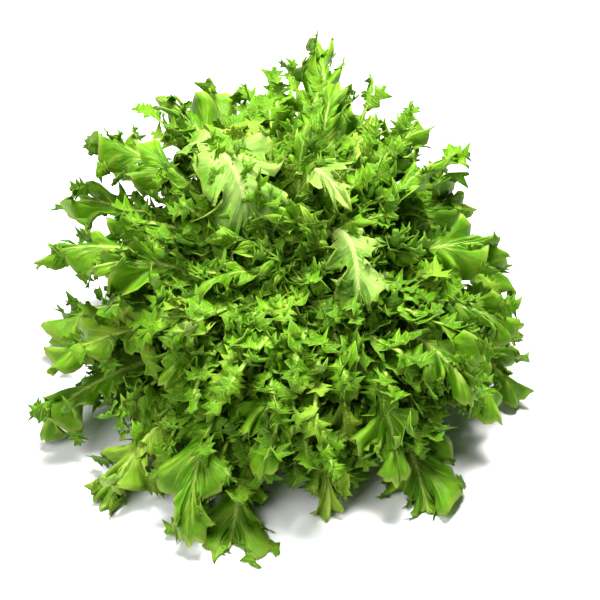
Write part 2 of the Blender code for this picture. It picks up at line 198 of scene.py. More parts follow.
@dataclass(frozen=True)
class Leaf:
    """One leaf: where it grows, how its rib bends, and how its blade is lobed and bent.

    The rise gives the rib's elevation at the root, in the middle and at the tip. Sinus is how much of a
    lobe's width is left between lobes. Petiole is the bare share of the length.
    """

    name: str
    seed: int
    azimuth: float
    root_radius: float
    root_height: float
    length: float
    rise: tuple[float, float, float]
    sweep: float
    roll: float
    half_width: float
    lobes: int = 5
    petiole: float = 0.24
    petiole_half_width: float = 0.0042
    sinus: float = 0.42
    fan: float = 30.0
    lift: float = 26.0
    twist: float = 20.0
    wave: float = 14.0
    waves: float = 2.0
    cup: float = 14.0
    curl: float = -16.0
    rib_thickness: float = 0.0044
    rib_half_width: float = 0.0042
    columns: int = 2
    lean: float = 0.0
    raised: float = 0.0
    tone: float = 0.5

    LATERAL_ANGLE = 68.0
    LATERAL_FALL = 2.6
    LOBE_CROWDING = 1.3
    BASE_WIDTH = 0.26
    FULL_WIDTH_AT = 0.8
    RIGHT_SIDE_START = 0.45
    TIP_HALF_LOBE = 0.5
    TIP_LOBE_SIZE = 1.05
    RIB_TAPER = 0.8
    CREST_SHAPE = 0.8
    PLAIN_TAPER = 0.7
    SETTLING = 10
    FINE_SETTLING = 30
    SMALLEST_TOOTH = 0.45
    LARGEST_TOOTH = 1.1
    SWERVE_BESIDE = 0.4
    LAST_LOBE = 0.93
    GAP_SHAPE = 0.3
    NARROWEST = 0.0015
    WHOLE_TIP = 0.3
    FRINGE_FALL = 0.5
    REACH_FALL = 0.65
    CURVE_SAMPLES = 160
    CURVE_REACH = 1.6
    DETAIL_SEED = 50000
    FRINGE_SEED = 90000

    def solid_grain(self) -> Grain:
        """The layout of this leaf's plain solid in the frame."""
        return Grain(rows=2, columns=self.columns, petiole=(0.0, 0.55))

    def _teeth(
        self, frill: Frill, number: np.ndarray, draw: np.random.Generator
    ) -> tuple[np.ndarray, np.ndarray]:
        """The teeth along one margin, each with its point on one row.

        Args:
            frill: how the margin is cut.
            number: the lobe of each row.
            draw: the generator of this leaf's details.

        Returns:
            For each row, how far it stands out and how much it swerves.
        """
        height = np.zeros(len(number))
        swerve = np.zeros(len(number))
        row = int(draw.integers(1, frill.spacing[0] + 1))
        while row < len(number) - 2:
            size = draw.uniform(self.SMALLEST_TOOTH, self.LARGEST_TOOTH)
            turn = draw.uniform(-1.0, 1.0) * size
            height[row], swerve[row] = size, turn
            for beside in (row - 1, row + 1):
                height[beside] = max(height[beside], frill.shoulder * size)
                swerve[beside] += self.SWERVE_BESIDE * turn
            row += int(draw.integers(frill.spacing[0], frill.spacing[1] + 1))
        height[-3:] = (0.0, frill.shoulder, self.LARGEST_TOOTH)
        swerve[-3:] = 0.0
        return height, swerve

    def _side(
        self,
        side: int,
        grain: Grain,
        draw: np.random.Generator,
        details: np.random.Generator,
        tip_lift: float,
    ) -> Sheet:
        """One side of the flat leaf, from the rib (first column) to the margin.

        Args:
            side: -1 for the left side and 1 for the right.
            grain: how finely it is laid out.
            draw: the generator that the leaf's form follows.
            details: the generator of its teeth and ruffles.
            tip_lift: the lift of the lobe at the tip, which both sides share.

        Returns:
            The side, with the petiole's rows first.
        """
        start = self.RIGHT_SIDE_START if side > 0 else 0.0
        along = 1.0 - np.linspace(1.0, 0.0, grain.rows * self.lobes + 1) ** grain.gathering
        out = np.linspace(0.0, 1.0, grain.columns + 1) ** grain.crowding
        lobe = along * (self.lobes - self.TIP_HALF_LOBE - start) + start
        number = np.minimum(np.floor(lobe + 1e-9).astype(int), self.lobes - 1)
        phase = lobe - number
        turn = np.where((np.arange(self.lobes) + (side > 0)) % 2 == 1, 1.0, -1.0)
        lift = turn * self.lift * draw.uniform(0.4, 1.15, self.lobes)
        size = draw.uniform(0.82, 1.18, self.lobes)
        twist = draw.uniform(-1.0, 1.0, self.lobes) * self.twist
        wave_start = draw.uniform()
        lift[-1], size[-1], twist[-1] = tip_lift, self.TIP_LOBE_SIZE, 0.0

        crest = np.clip(np.sin(np.pi * phase), 0.0, 1.0) ** self.CREST_SHAPE
        swing = np.sin(2.0 * np.pi * phase)
        settle = 1.0 - along**self.SETTLING
        envelope = self.BASE_WIDTH + (1.0 - self.BASE_WIDTH) * smooth(along / self.FULL_WIDTH_AT)
        frill = grain.frill
        sinus = self.sinus * (frill.cleft if frill else 1.0)
        lobed = sinus + (1.0 - sinus) * crest ** (frill.taper if frill else self.PLAIN_TAPER)
        reach = self.half_width * envelope * (1.0 + (size[number] - 1.0) * crest) * lobed

        heading = self.LATERAL_ANGLE * (1.0 - along**self.LATERAL_FALL)
        heading = heading[:, None] + self.fan * (swing * crest)[:, None] * smooth((out - 0.25) / 0.75)
        pitch = self.cup * (1.0 - 2.0 * out)[None, :] + self.curl * (out**2)[None, :]
        wave = self.wave * np.sin(2.0 * np.pi * (along * self.waves + wave_start)) * settle
        pitch = pitch + (wave + twist[number] * swing)[:, None] * out
        pitch = pitch + (lift[number] * crest)[:, None] * out**1.2

        vein = np.zeros((len(along), len(out)))
        crinkle = np.zeros_like(vein)
        stand = np.zeros_like(vein)
        wing = np.full(len(grain.petiole), self.petiole_half_width)
        if frill is not None:
            height, swerve = self._teeth(frill, number, details)
            uneven = 1.0 + frill.uneven * details.uniform(-1.0, 1.0, self.lobes)
            uneven[-1] = 1.0
            full = reach * (1.0 + (uneven[number] - 1.0) * crest)
            divided = frill.divided * (1.0 - self.WHOLE_TIP * along**3)
            wide = crest**self.GAP_SHAPE
            reach = full * (1.0 - divided * wide)
            reach = reach + frill.tooth * (height - frill.sunk * wide) * (0.35 + 0.65 * envelope)
            reach = np.maximum(reach, self.NARROWEST)
            carries = (height > frill.shoulder * self.LARGEST_TOOTH) & (along < self.LAST_LOBE)
            gap = np.maximum(full - reach, 0.0) * (frill.divided > 0.0)
            fringe = frill.fringe * (1.0 - self.FRINGE_FALL * along)
            stand[:, -1] = carries * height * (fringe + gap * (1.0 - self.REACH_FALL * along**3))
            ruffle_start = details.uniform(0.0, 1.0, self.lobes)
            ruffles = frill.ruffles * details.uniform(0.7, 1.4, self.lobes)
            curls = frill.tooth_curl * details.uniform(-1.0, 1.0, self.lobes)
            ruffle = np.sin(2.0 * np.pi * (ruffles[number] * phase + ruffle_start[number]))
            settle = 1.0 - along**self.FINE_SETTLING
            ruffle = frill.ruffle * ruffle * np.sqrt(crest) * settle
            pitch = pitch + ruffle[:, None] * out**1.8
            pitch = pitch + (curls[number] * height * settle)[:, None] * out**4
            heading = heading + frill.swerve * (swerve * settle)[:, None] * smooth((out - 0.4) / 0.6)
            vein = np.maximum(
                (crest**6)[:, None] * (1.0 - 0.6 * out)[None, :],
                height[:, None] * smooth((out - 0.3) / 0.4)[None, :],
            )
            starts = details.uniform(0.0, 1.0, 3)
            crinkle = np.sin(2.0 * np.pi * (3.3 * lobe[:, None] + 1.1 * out[None, :] + starts[0]))
            crinkle = crinkle * np.sin(2.0 * np.pi * (1.7 * lobe[:, None] - 2.3 * out[None, :] + starts[1]))
            crinkle = frill.crinkle * crinkle * smooth(out / 0.5)[None, :]
            wing = self._wing(grain, float(reach[0]))
        heading, pitch = np.radians(heading), np.radians(pitch)

        step = reach[:, None] * np.diff(out, prepend=0.0)[None, :]
        x = side * np.cumsum(step * np.cos(pitch) * np.sin(heading), axis=1)
        y = np.cumsum(step * np.cos(pitch) * np.cos(heading), axis=1)
        z = np.cumsum(step * np.sin(pitch), axis=1) + crinkle
        crowded = 1.0 - (1.0 - along) ** self.LOBE_CROWDING
        y = y + self.length * (self.petiole + (1.0 - self.petiole) * crowded)[:, None]

        shares = np.array(grain.petiole)[:, None]
        x_petiole = side * wing[:, None] * out[None, :]
        y_petiole = self.length * self.petiole * np.repeat(shares, len(out), axis=1)
        z_petiole = np.zeros_like(x_petiole)
        if frill is not None:
            z_petiole = wing[:, None] * math.sin(math.radians(self.cup)) * out[None, :]
        across = side * np.repeat(out[None, :], len(shares) + len(along), axis=0)
        lobes = np.concatenate([shares[:, 0] - 1.0, lobe])
        return Sheet(
            x=np.vstack([x_petiole, x]),
            y=np.vstack([y_petiole, y]),
            z=np.vstack([z_petiole, z]),
            across=across,
            lobe=np.repeat(lobes[:, None], len(out), axis=1),
            vein=np.vstack([np.zeros_like(x_petiole), vein]),
            stand=np.vstack([np.zeros_like(x_petiole), stand]),
        )

    def _wing(self, grain: Grain, first_reach: float) -> np.ndarray:
        """The half width of the petiole at each of its rows, out to the first row of the blade.

        Args:
            grain: how finely the leaf is laid out.
            first_reach: the half width where the blade starts.

        Returns:
            One half width for each row of the petiole.
        """
        shares = np.array(grain.petiole)
        grown = (first_reach - self.petiole_half_width) * smooth((shares - 0.45) / 0.55) ** 2
        spines = grain.frill.petiole_spine * (np.arange(len(shares)) % 3 == 2) * smooth((shares - 0.2) / 0.3)
        return self.petiole_half_width * (0.75 + 0.25 * shares) + grown + spines

    def flat(self, grain: Grain) -> Sheet:
        """The whole leaf before it is bent.

        Args:
            grain: how finely it is laid out.

        Returns:
            Rows from the root to the tip, and columns from the left edge to the right.
        """
        draw = np.random.default_rng(self.seed)
        details = np.random.default_rng(self.seed + self.DETAIL_SEED)
        tip_lift = draw.uniform(-0.6, 0.6) * self.lift
        left = self._side(-1, grain, draw, details, tip_lift)
        return left.beside(self._side(1, grain, draw, details, tip_lift))

    def _rib(self) -> tuple[np.ndarray, np.ndarray, np.ndarray, np.ndarray]:
        """Lengths and points along the rib, with the directions of its upper side and across it."""
        share = np.linspace(0.0, self.CURVE_REACH, self.CURVE_SAMPLES)
        start, middle, tip = self.rise
        bent = np.minimum(share, 1.0)
        rise = (1.0 - bent) ** 2 * start + 2.0 * bent * (1.0 - bent) * middle + bent**2 * tip
        rise = np.radians(self.raised + rise + 2.0 * (tip - middle) * (share - bent))
        turn = np.radians(self.azimuth + self.sweep * share**2)
        level = np.stack([np.cos(turn), np.sin(turn), 0.0 * turn], axis=1)
        upright = np.array([0.0, 0.0, 1.0])
        forward = level * np.cos(rise)[:, None] + upright * np.sin(rise)[:, None]
        upper = upright * np.cos(rise)[:, None] - level * np.sin(rise)[:, None]
        across = np.cross(forward, upper)
        roll = np.radians(self.roll * share)[:, None]
        upper, across = turned(upper, across, roll)
        spacing = self.length * self.CURVE_REACH / (self.CURVE_SAMPLES - 1)
        points = unit_path(forward) * spacing + level[0] * self.root_radius
        return share * self.length, points, upper, across

    def bent(self, sheet: Sheet) -> np.ndarray:
        """The sheet carried onto the bent rib, with what would pass the floor resting on it.

        Args:
            sheet: the flat leaf.

        Returns:
            A point for each row and column.
        """
        lengths, *curves = self._rib()
        points, upper, across = (read_along(sheet.y, lengths, values) for values in curves)
        placed = points + across * sheet.x[..., None] + upper * sheet.z[..., None]
        lean = math.radians(self.lean)
        back, up = placed[..., 1].copy(), placed[..., 2].copy()
        placed[..., 1] = back * math.cos(lean) - up * math.sin(lean)
        placed[..., 2] = back * math.sin(lean) + up * math.cos(lean) + self.root_height
        lowest = FLOOR_GAP + 0.5 * SOLID_BLADE
        over = (placed[..., 2] - lowest) / FLOOR_SOFTNESS
        placed[..., 2] = lowest + FLOOR_SOFTNESS * np.logaddexp(0.0, over)
        return placed

    def thickness(self, sheet: Sheet, blade: float) -> np.ndarray:
        """The share of the rib's thickness at each point: thick on the rib, thin at the edge.

        Args:
            sheet: the flat leaf.
            blade: the thickness of the blade.

        Returns:
            A share for each row and column.
        """
        along = np.clip(sheet.y / self.length, 0.0, 1.0)
        rib = np.exp(-((sheet.x / self.rib_half_width) ** 2)) * (1.0 - self.RIB_TAPER * along)
        thin = blade / self.rib_thickness
        return thin + (1.0 - thin) * rib


@dataclass(frozen=True)
class Spread:
    """A measure of the leaves at one depth: a mean, and what each direction adds to it."""

    mean: float
    back: float
    left: float = 0.0
    sides: float = 0.0

    def towards(self, azimuth: float) -> float:
        """The measure of a leaf that grows towards an azimuth."""
        back = math.sin(math.radians(azimuth))
        left = -math.cos(math.radians(azimuth))
        return self.mean + self.back * back + self.left * left + self.sides * left**2


@dataclass
class Rosette:
    """The plan of the head: where each leaf grows, by the rules that its solids were grown by.

    Placed gives the turn, the raise and the stretch of single large leaves by their number. Back places
    are the azimuth, the elevation and the root's height of the leaves that fill the back.
    """

    large_leaves: int = 32
    large_seed: int = 11
    large_azimuth: float = 255.0
    large_inward: float = 0.55
    large_half_width: float = 0.049
    back_widening: float = 0.20
    heart_leaves: int = 22
    heart_seed: int = 7
    heart_azimuth: float = 25.0
    heart_inward: float = 0.62
    heart_half_width: float = 0.031
    raise_step: float = 2.5
    turn_step: float = 4.0
    move_steps: int = 4
    root_reach: float = 0.030
    outside_length: Spread = Spread(0.146, -0.024, 0.007, -0.012)
    halfway_length: Spread = Spread(0.155, 0.044, 0.016, -0.012)
    middle_length: Spread = Spread(0.086, 0.010)
    outside_elevation: Spread = Spread(1.0, 4.0)
    middle_elevation: float = 90.0
    placed: dict[int, tuple[float, float, float]] = field(
        default_factory=lambda: {
            1: (3.0, 0.0, 1.00),
            2: (-8.0, 0.0, 1.06),
            3: (0.0, 3.0, 1.06),
            4: (-5.0, 0.0, 1.02),
            6: (3.0, -2.0, 1.12),
            7: (-12.0, 0.0, 0.98),
            9: (6.0, -4.0, 0.84),
            11: (24.0, -4.0, 1.16),
            13: (4.0, 2.0, 1.06),
            14: (0.0, -6.0, 1.22),
            16: (0.0, 0.0, 1.05),
            17: (4.0, -6.0, 1.10),
            19: (6.0, -4.0, 1.14),
            21: (-14.0, 0.0, 0.92),
            22: (-9.0, -4.0, 1.14),
            23: (0.0, 0.0, 0.82),
            24: (0.0, 0.0, 1.06),
            25: (4.0, -4.0, 1.20),
            26: (-11.0, 0.0, 1.0),
            29: (-16.0, 0.0, 0.84),
            31: (0.0, 0.0, 0.86),
        }
    )
    back_places: tuple[tuple[float, float, float], ...] = (
        (47.0, 9.0, 0.007),
        (80.0, 19.0, 0.016),
        (106.0, 27.0, 0.004),
        (117.0, 14.0, 0.013),
        (134.0, 28.0, 0.022),
        (152.0, 43.0, 0.025),
    )

    def direction(self, azimuth: float, inward: float) -> tuple[float, float]:
        """The elevation and the length of a leaf.

        Args:
            azimuth: where it grows to.
            inward: how deep in the head it grows, from 0 outside to 1 in the middle.

        Returns:
            Its elevation and its length.
        """
        outside = self.outside_elevation.towards(azimuth)
        elevation = outside * (1.0 - inward) + self.middle_elevation * inward
        spreads = (self.outside_length, self.halfway_length, self.middle_length)
        lengths = [spread.towards(azimuth) for spread in spreads]
        return elevation, float(np.interp(inward, (0.0, 0.5, 1.0), lengths))

    def spiral(self) -> list[Leaf]:
        """The large leaves of the spiral, from the lowest outside to the highest inside."""
        draw = np.random.default_rng(self.large_seed)
        leaves = []
        for index in range(self.large_leaves):
            share = index / (self.large_leaves - 1)
            azimuth = self.large_azimuth + GOLDEN_ANGLE * index + draw.uniform(-4.0, 4.0)
            elevation, length = self.direction(azimuth, self.large_inward * share)
            turn, raised, stretch = self.placed.get(index + 1, (0.0, 0.0, 1.0))
            elevation += raised
            bow = 30.0 - 12.0 * share
            droop = 44.0 - 8.0 * share
            behind = max(math.sin(math.radians(azimuth)), 0.0)
            widened = 1.0 + self.back_widening * behind * (1.0 - share)
            leaves.append(
                Leaf(
                    name=f"leaf_{index + 1:02d}",
                    seed=100 * self.large_seed + index,
                    azimuth=azimuth + turn,
                    root_radius=0.0208 - 0.0042 * share,
                    root_height=0.0065 + 0.0215 * share,
                    length=length * stretch * draw.uniform(0.94, 1.06),
                    rise=(elevation + bow, elevation + droop - bow, elevation - droop),
                    sweep=draw.uniform(-24.0, 24.0),
                    roll=draw.uniform(-22.0, 22.0),
                    half_width=(self.large_half_width - 0.005 * share) * widened,
                    lean=LEAN * self.large_inward * share,
                )
            )
        return leaves

    def back(self) -> list[Leaf]:
        """The large leaves that fill the back."""
        draw = np.random.default_rng(self.large_seed)
        leaves = []
        for number, (azimuth, elevation, root_height) in enumerate(self.back_places, self.large_leaves + 1):
            leaves.append(
                Leaf(
                    name=f"leaf_{number:02d}",
                    seed=100 * self.large_seed + number,
                    azimuth=azimuth,
                    root_radius=0.0195,
                    root_height=root_height,
                    length=0.150 + 0.0006 * elevation,
                    rise=(elevation + 22.0, elevation + 14.0, elevation - 36.0),
                    sweep=draw.uniform(-8.0, 8.0),
                    roll=draw.uniform(-8.0, 8.0),
                    half_width=0.042,
                    petiole=0.34,
                    petiole_half_width=0.0030,
                    rib_thickness=0.0030,
                    rib_half_width=0.0030,
                )
            )
        return leaves

    def heart(self) -> list[Leaf]:
        """The small leaves of the heart."""
        draw = np.random.default_rng(self.heart_seed)
        leaves = []
        for index in range(self.heart_leaves):
            share = index / (self.heart_leaves - 1)
            azimuth = self.heart_azimuth + GOLDEN_ANGLE * index
            inward = self.heart_inward + (1.0 - self.heart_inward) * share**0.8
            elevation, length = self.direction(azimuth, inward)
            elevation += draw.uniform(-4.0, 4.0)
            leaves.append(
                Leaf(
                    name=f"heart_leaf_{index + 1:02d}",
                    seed=100 * self.heart_seed + index,
                    azimuth=azimuth,
                    root_radius=0.008 - 0.005 * share,
                    root_height=STEM_HEIGHT + GAP + 0.005 + 0.030 * share,
                    length=length * draw.uniform(0.9, 1.08),
                    rise=(elevation + 12.0, elevation + 16.0, elevation - 44.0 + 10.0 * share),
                    sweep=draw.uniform(-20.0, 20.0),
                    roll=draw.uniform(-20.0, 20.0),
                    half_width=self.heart_half_width - 0.013 * share,
                    lobes=4,
                    petiole=0.20,
                    petiole_half_width=0.0030,
                    sinus=0.36,
                    lift=24.0,
                    twist=14.0,
                    rib_thickness=0.0026,
                    rib_half_width=0.0026,
                    columns=1,
                    lean=LEAN * inward,
                )
            )
        return leaves

    def on_node(self, leaf: Leaf, node: str) -> Leaf:
        """The leaf with the small turn and raise that its solid was grown clear by.

        Args:
            leaf: the leaf on the regular plan.
            node: the solid that it belongs to.

        Returns:
            The leaf moved to where its solid is.
        """
        points = [vertex.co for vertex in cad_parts[node].data.vertices]
        solid = KDTree(len(points))
        for index, point in enumerate(points):
            solid.insert(point, index)
        solid.balance()
        sheet = leaf.flat(leaf.solid_grain())
        far = np.hypot(sheet.x, sheet.y) > self.root_reach

        def misfit(move: tuple[float, float]) -> float:
            """The mean distance from the moved leaf to the solid."""
            moved = replace(leaf, azimuth=leaf.azimuth + move[0], raised=move[1])
            return float(np.mean([solid.find(Vector(point))[2] for point in moved.bent(sheet)[far]]))

        steps = range(-self.move_steps, self.move_steps + 1)
        moves = [(self.turn_step * turn, self.raise_step * rise) for turn in steps for rise in steps]
        best = min(moves, key=misfit)
        log.debug("%s moved by %s, misfit %.5f", leaf.name, best, misfit(best))
        return replace(leaf, azimuth=leaf.azimuth + best[0], raised=best[1])


class Term:
    """A number that a shader works out, so that Python's operators add its Math nodes."""

    def __init__(self, shader: "Shader", socket: bpy.types.NodeSocket) -> None:
        """Wraps one output of a node."""
        self.shader = shader
        self.socket = socket

    def _math(self, operation: str, *values: "Term | float") -> "Term":
        """Adds a Math node on these values."""
        return self.shader.node("ShaderNodeMath", {"operation": operation}, dict(enumerate(values)))

    def __add__(self, other: "Term | float") -> "Term":
        """This plus other."""
        return self._math("ADD", self, other)

    def __rsub__(self, other: float) -> "Term":
        """Other minus this."""
        return self._math("SUBTRACT", other, self)

    def __mul__(self, other: "Term | float") -> "Term":
        """This times other."""
        return self._math("MULTIPLY", self, other)

    def __abs__(self) -> "Term":
        """This without its sign."""
        return self._math("ABSOLUTE", self)

    def eased(self, low: float, high: float) -> "Term":
        """This eased from 0 at low to 1 at high, which may be below low."""
        settings = {"interpolation_type": "SMOOTHSTEP"}
        ends = {"From Min": low, "From Max": high, "To Min": 0.0, "To Max": 1.0}
        return self.shader.node("ShaderNodeMapRange", settings, {"Value": self, **ends})


class Shader:
    """The nodes of one material."""

    def __init__(self, name: str) -> None:
        """Starts a material with an empty tree."""
        self.material = bpy.data.materials.new(name)
        self.material.use_nodes = True
        self.tree = self.material.node_tree
        self.tree.nodes.clear()

    def node(
        self,
        kind: str,
        settings: dict[str, object] | None = None,
        values: dict | None = None,
        output: str | int = 0,
    ) -> Term | None:
        """Adds a node.

        Args:
            kind: the node's type.
            settings: its properties, which are set first.
            values: what its inputs hold or are linked to, by name or number.
            output: the output that is wanted.

        Returns:
            The output as a term, or None for a node that has none.
        """
        made = self.tree.nodes.new(kind)
        for key, value in (settings or {}).items():
            setattr(made, key, value)
        for key, value in (values or {}).items():
            if isinstance(value, Term):
                self.tree.links.new(value.socket, made.inputs[key])
            else:
                made.inputs[key].default_value = value
        return Term(self, made.outputs[output]) if made.outputs else None

    def read(self, name: str) -> Term:
        """A number that the mesh holds under this name."""
        return self.node("ShaderNodeAttribute", {"attribute_name": name}, output="Fac")

    def noise(self, scale: float, detail: float, stretch: Sequence[float] = (1.0, 1.0, 1.0)) -> Term:
        """A noise on the object's own coordinates.

        Args:
            scale: how many times it repeats in a metre.
            detail: how many finer layers it has.
            stretch: how each axis is scaled.

        Returns:
            The noise, round 0.5.
        """
        place = self.node("ShaderNodeTexCoord", output="Object")
        place = self.node("ShaderNodeMapping", None, {"Vector": place, "Scale": tuple(stretch)})
        return self.node("ShaderNodeTexNoise", None, {"Vector": place, "Scale": scale, "Detail": detail})

    def streaks(self, across: Term, lobe: Term, scale: tuple[float, float]) -> Term:
        """A noise drawn out from the rib to the margin, on the blade's own coordinates.

        Args:
            across: the place between the margins.
            lobe: the place along the blade.
            scale: how many times it repeats across the blade and in a lobe.

        Returns:
            The noise, round 0.5.
        """
        place = self.node("ShaderNodeCombineXYZ", None, {0: across * scale[0], 1: lobe * scale[1]})
        return self.node("ShaderNodeTexNoise", None, {"Vector": place, "Scale": 1.0, "Detail": 3.0})

    def mix(self, first: Term | Colour, second: Term | Colour, share: Term | float) -> Term:
        """A mix of two colours.

        Args:
            first: the colour where the share is 0.
            second: the colour where the share is 1.
            share: how much of the second shows.

        Returns:
            The mixed colour.
        """
        ends = [value if isinstance(value, Term) else (*value, 1.0) for value in (first, second)]
        settings = {"data_type": "RGBA", "clamp_factor": True}
        return self.node("ShaderNodeMix", settings, {0: share, 6: ends[0], 7: ends[1]}, output=2)

    def bump(self, height: Term, distance: float) -> Term:
        """A relief of this height, in metres at most distance."""
        return self.node("ShaderNodeBump", None, {"Height": height, "Distance": distance, "Strength": 1.0})

    def skin(self, **values: Term | float | Colour) -> Term:
        """A surface whose inputs are given with underscores for the spaces in their names."""
        named = {key.replace("_", " "): value for key, value in values.items()}
        return self.node("ShaderNodeBsdfPrincipled", None, named)

    def finish(self, surface: Term) -> bpy.types.Material:
        """Ends the tree at this surface and gives the material."""
        self.node("ShaderNodeOutputMaterial", None, {"Surface": surface})
        return self.material


@dataclass(frozen=True)
class LeafFinish:
    """The skin of one face of a leaf, from its rib to its margin, and the light that passes it.

    Relief is the height of its bumps in metres. Streaks is how many times the pale veins repeat across
    the blade and in a lobe.
    """

    name: str
    deep: Colour
    bright: Colour
    pale: Colour
    rib: Colour
    # a pale edge colour, painted as the glow of light passing through the thin edge of the blade
    margin: Colour
    glow: Colour
    passing: float = 0.17
    roughness: float = 0.42
    gloss: float = 0.10
    relief: float = 0.0012
    streaks: tuple[float, float] = (1.6, 17.0)

    def material(self) -> bpy.types.Material:
        """Builds the material."""
        shader = Shader(self.name)
        across, lobe, vein, beside, tone, inside = (shader.read(mark) for mark in MARKS)
        edge = abs(across)
        cloud = shader.noise(38.0, 3.0)
        grain = shader.noise(240.0, 2.0)
        streak = shader.streaks(across, lobe, self.streaks)

        shade = (cloud.eased(0.34, 0.66) * 0.45) + (streak.eased(0.3, 0.7) * 0.25) + tone * 0.3
        colour = shader.mix(self.deep, self.bright, shade)
        colour = shader.mix(colour, self.bright, edge.eased(0.35, 0.95) * 0.45)
        colour = shader.mix(colour, self.pale, vein * 0.22)
        colour = shader.mix(colour, self.pale, streak.eased(0.50, 0.64) * edge.eased(1.0, 0.4) * 0.50)
        colour = shader.mix(colour, self.pale, tone.eased(0.65, 1.0) * cloud.eased(0.35, 0.6) * 0.45)
        middle = beside.eased(1.25, 0.2)
        stripe = streak.eased(0.3, 0.7) * 0.45 + 0.45
        colour = shader.mix(colour, self.rib, middle * stripe)
        # painted glow: the last part of the width towards the edge is paler, as light through the thin edge
        # would make it
        colour = shader.mix(colour, self.margin, edge.eased(0.86, 1.0) * 0.34)
        colour = shader.mix(colour, self.deep, grain.eased(0.55, 0.75) * 0.12)
        # painted shade: deep in the head the colour goes most of the way to the dark green, where real shade
        # falls
        colour = shader.mix(colour, self.deep, inside * 0.9)

        relief = vein * 0.4 + grain * 0.4 + cloud * 0.6 + streak * 0.9
        normal = shader.bump(relief, self.relief)
        skin = shader.skin(
            Base_Color=colour,
            Roughness=grain * 0.12 + (self.roughness - 0.06),
            Normal=normal,
            Specular_IOR_Level=self.gloss,
        )
        through = shader.node("ShaderNodeBsdfTranslucent", None, {"Color": (*self.glow, 1.0)})
        # the painted shade also lets less light through the leaves deep in the head
        share = (1.0 - middle * 0.8) * (1.0 - inside) * self.passing
        return shader.finish(shader.node("ShaderNodeMixShader", None, {0: share, 1: skin, 2: through}))


@dataclass(frozen=True)
class StemFinish:
    """The cut butt: pale fibres on its side, and a drier, browner cut face."""

    name: str = "cut_stem"
    flesh: Colour = (0.74, 0.76, 0.50)
    fibre: Colour = (0.55, 0.60, 0.26)
    cut: Colour = (0.50, 0.38, 0.20)
    browned_to: float = 0.0016
    roughness: float = 0.5
    relief: float = 0.0006

    def material(self) -> bpy.types.Material:
        """Builds the material."""
        shader = Shader(self.name)
        fibres = shader.noise(90.0, 4.0, (1.0, 1.0, 0.15))
        pith = shader.noise(260.0, 3.0)
        place = shader.node("ShaderNodeTexCoord", output="Object")
        height = shader.node("ShaderNodeSeparateXYZ", None, {0: place}, output="Z")
        colour = shader.mix(self.flesh, self.fibre, fibres.eased(0.4, 0.7))
        browned = height.eased(self.browned_to, 0.0) * (pith.eased(0.2, 0.8) * 0.6 + 0.3)
        colour = shader.mix(colour, self.cut, browned)
        normal = shader.bump(fibres + pith * 0.5, self.relief)
        return shader.finish(shader.skin(Base_Color=colour, Roughness=self.roughness, Normal=normal))


@dataclass(frozen=True)
class FloorFinish:
    """The plain pale floor."""

    name: str = "pale_floor"
    white: Colour = (0.92, 0.92, 0.92)
    roughness: float = 0.7

    def material(self) -> bpy.types.Material:
        """Builds the material."""
        shader = Shader(self.name)
        return shader.finish(shader.skin(Base_Color=(*self.white, 1.0), Roughness=self.roughness))


class Depth(Enum):
    """How deep in the head a leaf grows, which sets its greens."""

    OUTER = "outer"
    INNER = "inner"
    HEART = "heart"


UPPER_FINISHES = {
    Depth.OUTER: LeafFinish(
        "outer_leaf_upper",
        deep=(0.004, 0.070, 0.0003),
        bright=(0.086, 0.285, 0.001),
        pale=(0.40, 0.48, 0.060),
        rib=(0.40, 0.52, 0.11),
        margin=(0.46, 0.49, 0.09),
        glow=(0.14, 0.48, 0.002),
    ),
    Depth.INNER: LeafFinish(
        "inner_leaf_upper",
        deep=(0.005, 0.080, 0.0003),
        bright=(0.098, 0.312, 0.001),
        pale=(0.41, 0.49, 0.060),
        rib=(0.40, 0.52, 0.11),
        margin=(0.47, 0.50, 0.09),
        glow=(0.15, 0.50, 0.002),
    ),
    Depth.HEART: LeafFinish(
        "heart_leaf_upper",
        deep=(0.006, 0.090, 0.0003),
        bright=(0.116, 0.345, 0.001),
        pale=(0.42, 0.50, 0.065),
        rib=(0.40, 0.52, 0.11),
        margin=(0.48, 0.51, 0.10),
        glow=(0.17, 0.52, 0.002),
    ),
}
UNDERSIDE = LeafFinish(
    "leaf_underside",
    deep=(0.035, 0.17, 0.003),
    bright=(0.130, 0.32, 0.004),
    pale=(0.42, 0.53, 0.16),
    rib=(0.46, 0.56, 0.18),
    margin=(0.46, 0.55, 0.09),
    glow=(0.17, 0.48, 0.004),
    roughness=0.55,
)


